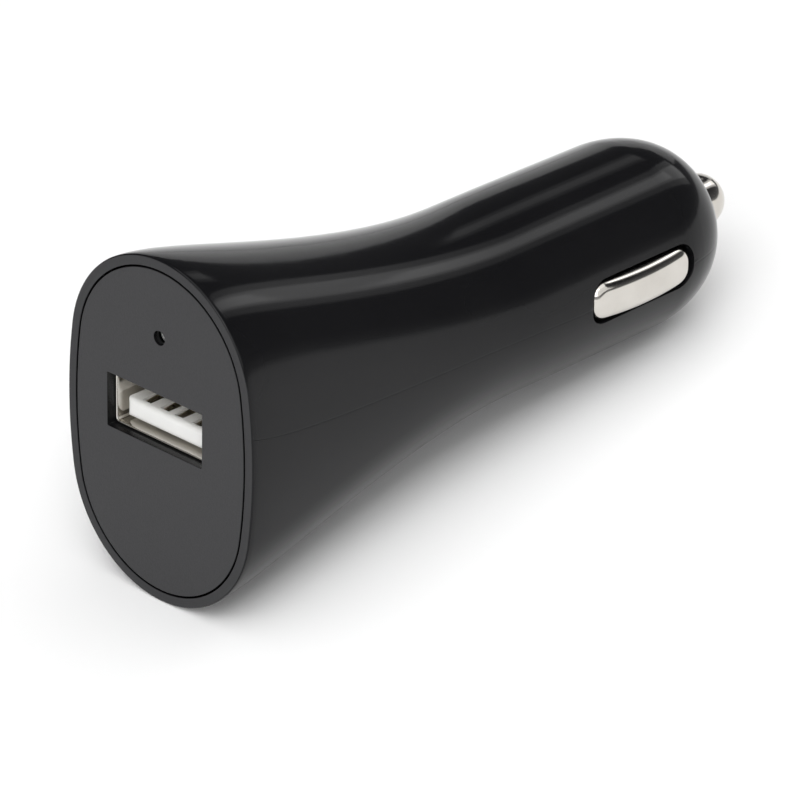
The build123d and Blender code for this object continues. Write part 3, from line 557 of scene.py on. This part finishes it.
bm = bmesh.new()
plate_inset = rim_width + plate_gap
oval = [plate_ring(plate_inset + inset, face_x + back) for inset, back in rounded_edge(plate_round)]
oval.append(plate_ring(plate_inset, pocket_floor))
window = [window_ring(grow, face_x + back) for grow, back in rounded_edge(window_round)]
window.append(window_ring(0, pocket_floor))
pinhole = [light_ring(hole_radius + grow, face_x + back) for grow, back in rounded_edge(hole_round)]
pinhole += [light_ring(radius, face_x + hole_depth) for radius in (hole_radius, seat_radius)]
pinhole.append(light_ring(seat_radius, pocket_floor))
for loops in zip(*[add_rings(bm, rings) for rings in (oval, window, pinhole)]):
    edges = [e for loop in loops for e in loop]
    bmesh.ops.triangle_fill(bm, edges=edges, use_beauty=True, use_dissolve=False)
share, arc, _ = section_arcs(hook_tip, shell_wall + hook_clearance)
reach = share * face_end_center + sqrt(arc**2 - hook_half**2)
hook = [(pocket_floor, -hook_depth), (hook_tip, -hook_depth), (hook_tip, 0.0)]
hook += [(hook_barb, barb_height), (hook_barb, 0.0), (pocket_floor, 0.0)]
for side in (-1, 1):
    places = [(x, -hook_half, share * face_rise + side * (reach + height)) for x, height in hook]
    outline = [bm.verts.new(spot) for spot in places]
    grown = bmesh.ops.extrude_face_region(bm, geom=[bm.faces.new(outline)])["geom"]
    far_side = [part for part in grown if isinstance(part, bmesh.types.BMVert)]
    bmesh.ops.translate(bm, vec=(0, 2 * hook_half, 0), verts=far_side)
finish_piece("front_plate", bm, "housing", "face_plate", satin_charcoal)

# Port
# A folded nickel-plated sheet with spring fingers, a white moulded insulator whose tongue stands low in it,
# and four gilt spring contacts laid in slots on the tongue's top.
sheet = 0.3
port_half, port_corner = (6.55, 2.86), 0.5
port_back, port_front = -29.0, -42.85
finger_front, finger_tip, finger_root = -39.4, -39.05, -34.8
finger_half, slit_half = 0.8, 1.15
finger_rows = (-3.0, 3.0)
slit_edges = (-slit_half, -finger_half, finger_half, slit_half)
slit_lines = [row + edge for row in finger_rows for edge in slit_edges]
leg_x, leg_y, leg_z, leg_length, leg_height = -32.0, 6.4, 4.25, 1.6, 5.26

bright_nickel, tree, shader, place = new_finish("bright_nickel", Metallic=1.0)
drawn = add_uneven(tree, place, 700.0, 0.09, 0.16, stretch=(0.25, 1, 1))
cloud = add_uneven(tree, place, 260.0, 0.0, 1.0)
tone = blend_colour(tree, cloud.outputs["Value"], (0.60, 0.573, 0.53), (0.67, 0.643, 0.60))
tree.links.new(tone, shader.inputs["Base Color"])
tree.links.new(drawn.outputs["Value"], shader.inputs["Roughness"])
add_relief(tree, shader, drawn.outputs["Height"], 0.04, 0.0001)

white_insulator, tree, shader, place = new_finish("white_insulator", Specular_IOR_Level=0.4)
cloud = add_uneven(tree, place, 400.0, 0.0, 1.0)
grain = add_uneven(tree, place, 3500.0, 0.38, 0.52)
tone = blend_colour(tree, cloud.outputs["Value"], (0.87, 0.87, 0.85), (0.91, 0.91, 0.89))
tree.links.new(tone, shader.inputs["Base Color"])
tree.links.new(grain.outputs["Value"], shader.inputs["Roughness"])
add_relief(tree, shader, grain.outputs["Height"], 0.08, 0.00005)


def speckled(name, scale, rough, tones, stretch=(1, 1, 1), relief=None, **constants):
    # A finish whose colour and sheen vary together in one fine noise
    finish, tree, shader, place = new_finish(name, **constants)
    speck = add_uneven(tree, place, scale, *rough, stretch=stretch)
    tree.links.new(blend_colour(tree, speck.outputs["Value"], *tones), shader.inputs["Base Color"])
    tree.links.new(speck.outputs["Value"], shader.inputs["Roughness"])
    if relief:
        add_relief(tree, shader, speck.outputs["Height"], *relief)
    return finish


gilt_tones = ((0.42, 0.36, 0.27), (0.54, 0.47, 0.36))
gilt_contact = speckled("gilt_contact", 1800.0, (0.22, 0.36), gilt_tones, stretch=(0.2, 1, 1), Metallic=1.0)


def dress(finish, *names):
    # A CAD node whose shape is right keeps it and takes the finish
    for name in names:
        for place in cad[name].material_slots:
            place.material = finish


def sheet_ring(inset, x):
    # Points round the folded sheet, with one on each line of the finger slits
    half_y, half_z = port_half[0] - inset, port_half[1] - inset
    arcs = corner_arcs(half_y, half_z, port_corner - inset / 2, 4)
    spots = arcs[0] + [(line, half_z) for line in reversed(slit_lines)] + arcs[1]
    spots += arcs[2] + [(line, -half_z) for line in slit_lines] + arcs[3]
    return [(x, window_center[0] + y, window_center[1] + z) for y, z in spots]


def in_slit(spot):
    # Whether a place on the top or bottom sheet lies in the slit that frees a spring finger
    away = min(abs(spot.y - window_center[0] - row) for row in finger_rows)
    front = finger_front < spot.x < finger_tip and away < slit_half
    beside = finger_tip < spot.x < finger_root and finger_half < away < slit_half
    return abs(spot.z - window_center[1]) > port_half[1] - 1.2 * sheet and (front or beside)


bm = bmesh.new()
runs = (port_back, finger_root, finger_tip, finger_front, port_front)
rings = [sheet_ring(0, x) for x in runs]
for turn in (pi / 4, pi / 2, 3 * pi / 4):
    rings.append(sheet_ring(sheet / 2 * (1 - cos(turn)), port_front - sheet / 2 * sin(turn)))
rings += [sheet_ring(sheet, x) for x in reversed(runs)]
ends = add_rings(bm, rings)
bmesh.ops.bridge_loops(bm, edges=ends[0] + ends[1])
bmesh.ops.delete(bm, geom=[f for f in bm.faces if in_slit(f.calc_center_median())], context="FACES")
open_edges = [(e, (e.verts[0].co + e.verts[1].co) / 2) for e in bm.edges if e.is_boundary]
for row in finger_rows:
    row_y = window_center[0] + row
    for way in (-1, 1):
        in_row = [(e, spot) for e, spot in open_edges if abs(spot.y - row_y) < 1.1 * slit_half]
        near = [e for e, spot in in_row if (spot.z - window_center[1]) * way > 0]
        bmesh.ops.bridge_loops(bm, edges=near)
for side in (-1, 1):
    leg = Matrix.Translation((leg_x, window_center[0] + side * leg_y, leg_z))
    bmesh.ops.create_cube(bm, size=1, matrix=leg @ Matrix.Diagonal((leg_length, sheet, leg_height, 1)))
finish_piece("port_shell", bm, "housing", "usb_shell", bright_nickel)
dress(white_insulator, "usb_insulator")
dress(gilt_contact, "usb_contacts")

# Indicator light
# A small light with a moulded clear lens, pushed in behind the plate's pinhole, on two tinned leads.
lens_center, lens_radius = -41.68, 1.5
flange_front, flange_back, flange_radius, flange_round = -39.38, -38.58, 1.75, 0.06

lens_tones = ((0.72, 0.73, 0.72), (0.80, 0.81, 0.80))
clear_lens = speckled("clear_lens", 900.0, (0.18, 0.3), lens_tones, IOR=1.5, Transmission_Weight=0.1)
tin_tones = ((0.62, 0.61, 0.58), (0.72, 0.71, 0.68))
tinned_copper = speckled("tinned_copper", 1500.0, (0.28, 0.45), tin_tones, Metallic=1.0)


def turned_about_x(bm, profile, height, steps):
    # A solid turned from a line of places: along X, and out from the axis
    line = [bm.verts.new((x, r, height)) for x, r in profile]
    edges = [bm.edges.new(pair) for pair in zip(line, line[1:])]
    bmesh.ops.spin(
        bm,
        geom=line + edges,
        cent=(0, 0, height),
        axis=(1, 0, 0),
        angle=2 * pi,
        steps=steps,
        use_merge=True,
        use_duplicate=False,
    )
    bmesh.ops.remove_doubles(bm, verts=bm.verts[:], dist=0.0005)


bm = bmesh.new()
turns = [step * pi / 24 for step in range(13)]
profile = [(lens_center - lens_radius * cos(turn), lens_radius * sin(turn)) for turn in turns]
profile += [(flange_front, lens_radius), (flange_front, flange_radius - flange_round)]
profile += [(flange_front + flange_round, flange_radius), (flange_back - flange_round, flange_radius)]
profile += [(flange_back, flange_radius - flange_round), (flange_back, 0)]
turned_about_x(bm, profile, light_height, 48)
finish_piece("light_lens", bm, "housing", "indicator_led", clear_lens)
dress(tinned_copper, "led_leads")

# Circuit board and its parts
# A fibreglass board with green solder mask that hangs from the port and rests on the posts. On it is a
# step-down converter: two sleeved capacitors, a wound ferrite drum, a chip, a diode and small chip parts.
board_green, tree, shader, place = new_finish("board_green", Specular_IOR_Level=0.4)
cells = tree.nodes.new("ShaderNodeTexVoronoi")
cells.feature = "DISTANCE_TO_EDGE"
cells.inputs["Scale"].default_value = 420.0
tree.links.new(place, cells.inputs["Vector"])
tracks = ramp_between(tree, cells.outputs["Distance"], 0.05, 0.09)
weave = add_uneven(tree, place, 2600.0, 0.0, 1.0)
mask = blend_colour(tree, weave.outputs["Value"], (0.012, 0.075, 0.028), (0.018, 0.095, 0.036))
tree.links.new(blend_colour(tree, tracks, mask, (0.022, 0.14, 0.05)), shader.inputs["Base Color"])
gloss = add_uneven(tree, place, 700.0, 0.28, 0.42)
tree.links.new(gloss.outputs["Value"], shader.inputs["Roughness"])
add_relief(tree, shader, tracks, 0.2, 0.00004)
dress(board_green, "circuit_board")

capacitor_sleeve, tree, shader, place = new_finish("capacitor_sleeve", Specular_IOR_Level=0.5)
stripe = along_axis(tree, place, "Y", 0.0017, 0.0018)
tone = add_uneven(tree, place, 500.0, 0.26, 0.4)
dark = blend_colour(tree, tone.outputs["Value"], (0.006, 0.009, 0.03), (0.01, 0.014, 0.042))
tree.links.new(blend_colour(tree, stripe, dark, (0.42, 0.44, 0.47)), shader.inputs["Base Color"])
tree.links.new(tone.outputs["Value"], shader.inputs["Roughness"])
dress(capacitor_sleeve, "output_capacitor", "input_capacitor")

copper_winding, tree, shader, place = new_finish("copper_winding", Metallic=1.0)
turns = tree.nodes.new("ShaderNodeTexWave")
turns.bands_direction = "Z"
turns.inputs["Scale"].default_value = 1050.0
tree.links.new(place, turns.inputs["Vector"])
lacquer = add_uneven(tree, place, 900.0, 0.22, 0.34)
# The copper is painted darker in the grooves between the turns and lighter on their crowns, following the
# relief: painted shade and highlight.
tone = blend_colour(tree, turns.outputs["Fac"], (0.32, 0.11, 0.04), (0.70, 0.29, 0.13))
tree.links.new(tone, shader.inputs["Base Color"])
tree.links.new(lacquer.outputs["Value"], shader.inputs["Roughness"])
add_relief(tree, shader, turns.outputs["Fac"], 0.8, 0.00012)
dress(copper_winding, "inductor_winding")

core_tones = ((0.018, 0.017, 0.016), (0.045, 0.043, 0.041))
core_relief = (0.3, 0.00005)
ferrite = speckled("ferrite", 4000.0, (0.55, 0.8), core_tones, relief=core_relief, Specular_IOR_Level=0.3)
dress(ferrite, "inductor_core")

chip_tones = ((0.011, 0.011, 0.012), (0.024, 0.024, 0.025))
chip_relief = (0.3, 0.00003)
chip_black = speckled(
    "chip_black", 6000.0, (0.5, 0.7), chip_tones, relief=chip_relief, Specular_IOR_Level=0.35
)
dress(chip_black, "converter_chip", "freewheel_diode", "chip_resistors")

ceramic_tones = ((0.30, 0.19, 0.10), (0.40, 0.27, 0.16))
chip_ceramic = speckled("chip_ceramic", 3000.0, (0.35, 0.5), ceramic_tones, Specular_IOR_Level=0.4)
dress(chip_ceramic, "ceramic_capacitors")
dress(tinned_copper, "capacitor_leads", "chip_pins", "diode_tabs", "tip_terminal")

# Tip contact and its spring
# A pin turned from brass and nickel plated, with a round end that stands out of the nose. Its flange stops it
# behind the nose, and a coil spring of drawn steel wire on its tail pushes it out.
pin_radius, dome_start, dome_length, pin_middle, shoulder_round = 3.0, 35.6, 3.2, 30.0, 0.12
stop_front, stop_back, stop_radius, stop_round = 25.4, 24.0, 4.1, 0.15
tail_end, tail_radius, tail_round = 20.0, 2.4, 0.3

bm = bmesh.new()
turns = [step * pi / 32 for step in range(17)]
profile = [(dome_start + dome_length * cos(turn), pin_radius * sin(turn)) for turn in turns]
profile.append((pin_middle, pin_radius))
profile += [(stop_front + away, pin_radius + rise) for away, rise in rounded_edge(shoulder_round)]
profile += [(stop_front - back, stop_radius - inset) for inset, back in rounded_edge(stop_round)]
profile += [(stop_back + back, stop_radius - inset) for inset, back in reversed(rounded_edge(stop_round))]
profile.append((stop_back, tail_radius))
profile += [(tail_end + back, tail_radius - inset) for inset, back in reversed(rounded_edge(tail_round))]
profile.append((tail_end, 0))
turned_about_x(bm, profile, 0.0, 96)
finish_piece("tip_pin", bm, "tip", "tip_contact", bright_nickel)

spring_seat, spring_length, spring_wire, spring_radius = 12.2, 11.8, 0.5, 2.9
spring_turns, turn_steps, spring_end = 6, 40, 0.3
steel_tones = ((0.46, 0.46, 0.47), (0.58, 0.58, 0.59))
spring_steel = speckled("spring_steel", 2200.0, (0.22, 0.38), steel_tones, Metallic=1.0)

bm = bmesh.new()
wire = bmesh.ops.create_circle(bm, segments=14, radius=spring_wire / 2)["verts"]
bmesh.ops.translate(bm, vec=(spring_seat + spring_end, spring_radius, 0), verts=wire)
start = list({e for v in wire for e in v.link_edges})
steps = turn_steps * spring_turns
wound = bmesh.ops.spin(
    bm,
    geom=wire + start,
    cent=(0, 0, 0),
    dvec=((spring_length - 2 * spring_end) / steps, 0, 0),
    axis=(1, 0, 0),
    angle=2 * pi * spring_turns,
    steps=steps,
    use_duplicate=False,
)
end = [part for part in wound["geom_last"] if isinstance(part, bmesh.types.BMEdge)]
for loop in (start, end):
    bmesh.ops.contextual_create(bm, geom=loop)
coil = finish_piece("tip_coil", bm, "housing", "tip_spring", spring_steel)
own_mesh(coil)

# Side contacts
# Each is stamped from springy sheet and nickel plated: a hollow pad with a domed face that stands out of the
# slot, a leaf behind it whose root sits between two posts, and a tab up to the board.
pad_center = (slot_start + slot_end) / 2
pad_half, pad_corner, least_corner = (7.63, 2.28), 1.88, 0.1
pad_crown, pad_bow, pad_cross = 11.1, 36.786, 7.5
pad_edge, pad_base = 1.1, 7.9
hollow_shares, hollow_shoulder = (0.03, 0.2, 0.4, 0.6, 0.8, 0.93), 0.3
leaf_sheet, leaf_half = 0.45, 1.5
leaf_path = ((-6.5, 5.7), (-3.9, 5.7), (-3.5, 5.74), (-3.1, 5.82), (7.6, 8.06), (8.0, 8.12), (9.0, 8.125))
tab_middle, tab_width, tab_height = 2.9, 1.2, 2.86


def pad_outline(inset):
    # Points round the pad's rounded outline, from its middle
    half_x, half_z, corner = pad_half[0] - inset, pad_half[1] - inset, max(pad_corner - inset, least_corner)
    arcs = corner_arcs(half_x, half_z, corner, 12)
    long_run = [(half_x - corner) * (1 - 2 * step / 24) for step in range(1, 24)]
    short_run = [(half_z - corner) * (1 - 2 * step / 3) for step in range(1, 3)]
    spots = arcs[0] + [(x, half_z) for x in long_run] + arcs[1] + [(-half_x, z) for z in short_run]
    return spots + arcs[2] + [(-x, -half_z) for x in long_run] + arcs[3] + [(half_x, -z) for z in short_run]


def pad_face(x, z, inset):
    # How far out the pad's domed face lies over a place on its outline's plane
    swell = pad_crown - pad_cross
    reach = pad_crown - pad_bow + sqrt((pad_bow - inset) ** 2 - x**2) - swell
    return swell + sqrt(reach**2 - z**2)


def side_contact(side):
    # The stamped contact of one side: the pad, drawn from its hollow round its edge to its dome, the leaf
    # and the tab
    def spot(x, y, z):
        return (pad_center + x, side * y, slot_rise + z)

    def dome_ring(outline, share, inset):
        places = [(share * x, share * z) for x, z in outline]
        return [spot(x, pad_face(x, z, inset), z) for x, z in places]

    bm = bmesh.new()
    hollow, crest = pad_outline(leaf_sheet), pad_outline(pad_edge)
    rings = [dome_ring(hollow, share, leaf_sheet) for share in hollow_shares]
    rings.append([spot(x, pad_face(x, z, leaf_sheet) - hollow_shoulder, z) for x, z in hollow])
    rings.append([spot(x, pad_base, z) for x, z in hollow])
    rings.append([spot(x, pad_base, z) for x, z in pad_outline(0)])
    for drop, inset in rounded_edge(pad_edge, 8):
        rings.append([spot(x, pad_face(x, z, 0) - drop, z) for x, z in pad_outline(inset)])
    rings += [dome_ring(crest, 1 - step / 15.5, 0) for step in range(1, 16)]
    strip = []
    for x, y in leaf_path:
        corners = ((-1, -1), (-1, 1), (1, 1), (1, -1))
        strip.append([(x, side * (y + out * leaf_sheet / 2), up * leaf_half) for out, up in corners])
    for loop in add_rings(bm, rings) + add_rings(bm, strip):
        bmesh.ops.contextual_create(bm, geom=loop)
    tab = Matrix.Translation((leaf_root_x, side * leaf_root_y, tab_middle))
    bmesh.ops.create_cube(bm, size=1, matrix=tab @ Matrix.Diagonal((tab_width, leaf_sheet, tab_height, 1)))
    return bm


left, right = side_contact(1), side_contact(-1)
finish_piece("left_pad", left, "left_side", "side_contact_left", bright_nickel)
finish_piece("right_pad", right, "right_side", "side_contact_right", bright_nickel)

# Floor, room and light
# A pale table that the plug lies on, tilted in the plug's own frame, a screen behind it and a dark card on
# its near side, both painted with a glow that shows straight on and in reflections and lights nothing, and
# soft studio lamps: one overhead, one at the face and strips for the gloss. Places are in metres.
floor_low, floor_slope, floor_reach = -0.01822, 0.1175, 3.0
screen_away, screen_top = 1.1, 0.34
screen_corners = ((30, -0.1), (75, -0.1), (75, screen_top), (13, screen_top))
card_corners = ((-0.5, -0.86, 0.16), (0.50, -0.86, 0.30), (0.42, -0.60, 0.72), (-0.5, -0.60, 0.72))


def stage_sheet(name, corners, finish):
    # A flat piece of the set
    bm = bmesh.new()
    bm.faces.new([bm.verts.new(spot) for spot in corners])
    mesh = bpy.data.meshes.new(name)
    bm.to_mesh(mesh)
    bm.free()
    mesh.materials.append(finish)
    piece = bpy.data.objects.new(name, mesh)
    bpy.context.scene.collection.objects.link(piece)


def seen_straight(tree):
    # 1 for rays from the camera and those mirrored or let through on their way
    path = tree.nodes.new("ShaderNodeLightPath")
    total = path.outputs["Is Camera Ray"]
    for label in ("Is Glossy Ray", "Is Transmission Ray"):
        either = tree.nodes.new("ShaderNodeMath")
        either.operation = "MAXIMUM"
        tree.links.new(total, either.inputs[0])
        tree.links.new(path.outputs[label], either.inputs[1])
        total = either.outputs[0]
    return total


def stage_finish(name, scale, dark, pale):
    # A dull finish for the set, in a soft cloud between two greys
    finish, tree, shader, place = new_finish(name, Roughness=0.9, Specular_IOR_Level=0.0)
    cloud = add_uneven(tree, place, scale, 0.0, 1.0).outputs["Value"]
    tree.links.new(blend_colour(tree, cloud, (dark,) * 3, (pale,) * 3), shader.inputs["Base Color"])
    return finish, tree, shader, place


def glow_where_seen(tree, shader, mask, first, second):
    # A glow between two greys that shows to the camera and in gloss and metal, and adds no diffuse light
    tree.links.new(blend_colour(tree, mask, (first,) * 3, (second,) * 3), shader.inputs["Emission Color"])
    tree.links.new(seen_straight(tree), shader.inputs["Emission Strength"])


pale_floor, tree, shader, place = stage_finish("pale_floor", 9.0, 0.91, 0.92)
length = tree.nodes.new("ShaderNodeVectorMath")
length.operation = "LENGTH"
tree.links.new(place, length.inputs[0])
glow_where_seen(tree, shader, ramp_between(tree, length.outputs["Value"], 0.3, 1.2), 0.06, 0.02)
edges = ((-1, -1), (1, -1), (1, 1), (-1, 1))
heights = [floor_low + floor_slope * (x * floor_reach - face_x * 0.001) for x, y in edges]
spots = [(x * floor_reach, y * floor_reach, height) for (x, y), height in zip(edges, heights)]
stage_sheet("floor", spots, pale_floor)

# The screen is painted with a glow, strong at its foot and faint at its top, that stands in for a lit wall:
# painted light, seen straight on and in reflections, lighting nothing.
glowing_screen, tree, shader, place = stage_finish("glowing_screen", 12.0, 0.80, 0.82)
glow_where_seen(tree, shader, along_axis(tree, place, "Z", 0.0, screen_top), 0.40, 0.085)
turns = [(radians(turn), z) for turn, z in screen_corners]
spots = [(screen_away * cos(turn), screen_away * sin(turn), z) for turn, z in turns]
stage_sheet("screen", spots, glowing_screen)

# The card is dark and painted with a glow that stands in for a lit white card: painted light, seen straight
# on and in reflections, lighting nothing.
glowing_card, tree, shader, place = stage_finish("glowing_card", 6.0, 0.05, 0.06)
cloud = add_uneven(tree, place, 6.0, 0.0, 1.0)
glow_where_seen(tree, shader, cloud.outputs["Value"], 0.80, 1.0)
stage_sheet("card", card_corners, glowing_card)


def soft_lamp(name, place, target, along, length, width, level):
    # A flat lamp of a given brightness, with its length along a direction
    lamp = bpy.data.lights.new(name, "AREA")
    lamp.shape = "RECTANGLE"
    lamp.size, lamp.size_y = length, width
    lamp.energy = level * pi * length * width
    back = (Vector(place) - Vector(target)).normalized()
    side = (Vector(along) - back * Vector(along).dot(back)).normalized()
    turn = Matrix((side, back.cross(side), back)).transposed().to_4x4()
    holder = bpy.data.objects.new(name, lamp)
    holder.matrix_world = Matrix.Translation(place) @ turn
    bpy.context.scene.collection.objects.link(holder)


soft_lamp("overhead", (-0.35, -0.5, 0.85), (-0.35, -0.5, 0), (1, 0, 0), 1.6, 1.8, 1.2)
soft_lamp("face_fill", (-0.62, -0.45, 0.55), (-0.044, 0, 0), (-0.6, 0.8, 0), 1.0, 0.8, 2.4)

# A strip is a broad dim lamp with narrower ones just over it, so that its reflection fades towards its edges
strip_way = Vector((0.958, 0.287, 0))
gloss_strips = ((0.0, 0.40, 0.17, 0.54), (0.0, 0.40, 0.09, 0.84), (0.09, 0.22, 0.05, 1.0))
for shift, length, width, level in gloss_strips:
    place = Vector((0.40, -0.048, 0.30 - 0.04 * width)) - strip_way * shift
    soft_lamp("gloss_strip", place, (0, -0.01, 0.005), strip_way, length, width, level)
for width, level in ((0.09, 0.24), (0.045, 0.36)):
    place = (0.285, 0.1325, 0.30 - 0.1 * width)
    soft_lamp("barrel_strip", place, (0.01, -0.005, 0.005), strip_way, 0.12, width, level)

room = bpy.data.worlds.new("room")
bpy.context.scene.world = room
room.use_nodes = True
tree = room.node_tree
sky = tree.nodes["Background"]
height = tree.nodes.new("ShaderNodeSeparateXYZ")
tree.links.new(tree.nodes.new("ShaderNodeTexCoord").outputs["Generated"], height.inputs[0])
low_wall = ramp_between(tree, height.outputs["Z"], 0.0, 0.22)
low_wall.node.interpolation_type = "SMOOTHSTEP"
upper_wall = ramp_between(tree, height.outputs["Z"], 0.1, 0.6)
dim = blend_colour(tree, upper_wall, (0.12, 0.12, 0.124), (0.018, 0.018, 0.02))
seen = blend_colour(tree, low_wall, (0.45, 0.45, 0.45), dim)
tree.links.new(blend_colour(tree, seen_straight(tree), (0.32, 0.32, 0.32), seen), sky.inputs["Color"])

# Camera, at the photograph's angle
camera_turn, camera_rise, camera_roll = radians(-46.6947), radians(26.6375), radians(1.12375)
camera_target, camera_away, camera_lens = Vector((-0.0265930, -0.0157917, 0.0036602)), 0.55, 253.43
lens = bpy.data.cameras.new("camera")
lens.lens = camera_lens
lens.clip_start, lens.clip_end = 0.01, 20.0
camera = bpy.data.objects.new("camera", lens)
aim = Matrix.Rotation(camera_turn, 4, "Z") @ Matrix.Rotation(pi / 2 - camera_rise, 4, "X")
aim = aim @ Matrix.Rotation(camera_roll, 4, "Z")
camera.matrix_world = Matrix.Translation(camera_target) @ aim @ Matrix.Translation((0, 0, camera_away))
bpy.context.scene.collection.objects.link(camera)
bpy.context.scene.camera = camera
bpy.context.scene.view_settings.view_transform = "Standard"
